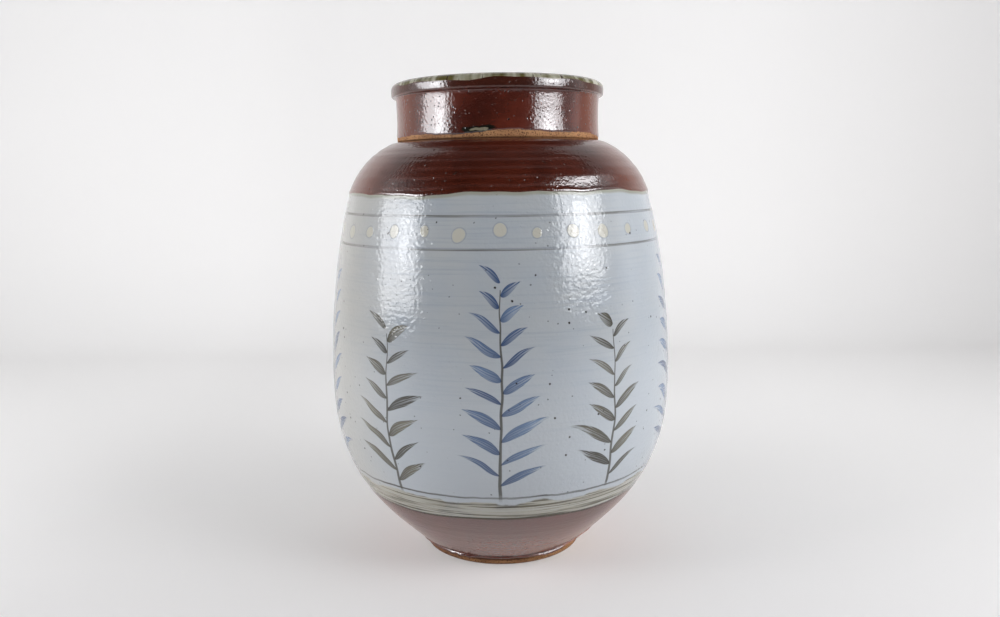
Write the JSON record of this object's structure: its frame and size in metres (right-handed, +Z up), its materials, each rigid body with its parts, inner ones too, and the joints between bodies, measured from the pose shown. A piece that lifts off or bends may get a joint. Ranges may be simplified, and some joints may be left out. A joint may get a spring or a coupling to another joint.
{
  "type": "covered urn",
  "caption": "Hand-thrown stoneware covered urn: round-bellied jar on a turned foot, with a short neck and a flat-topped cap lid that lifts straight off.",
  "frame": {"origin": "centre of the foot ring, on the surface that the urn stands on", "axes": "+Z up along the axis the pot was turned on; the urn is round, so X and Y are free, and the picture's view looks along +Y"},
  "size_m": [0.242, 0.242, 0.3325],
  "materials": {
    "jar_stoneware": "glossy pale blue-grey stoneware glaze with brushed iron and cobalt, dark red-brown iron glaze on the shoulder and above the foot, bare clay foot",
    "lid_stoneware": "glossy dark red-brown iron glaze with an olive ash glaze on the crown, bare clay rim"
  },
  "bodies": {
    "jar": {"jar": "jar_stoneware"},
    "lid": {"lid": "lid_stoneware"}
  },
  "joints": [
    {"name": "lid_lift", "type": "slide", "parent": "jar", "child": "lid", "axis": [0, 0, 1], "range_m": [0, 0.15]}
  ]
}
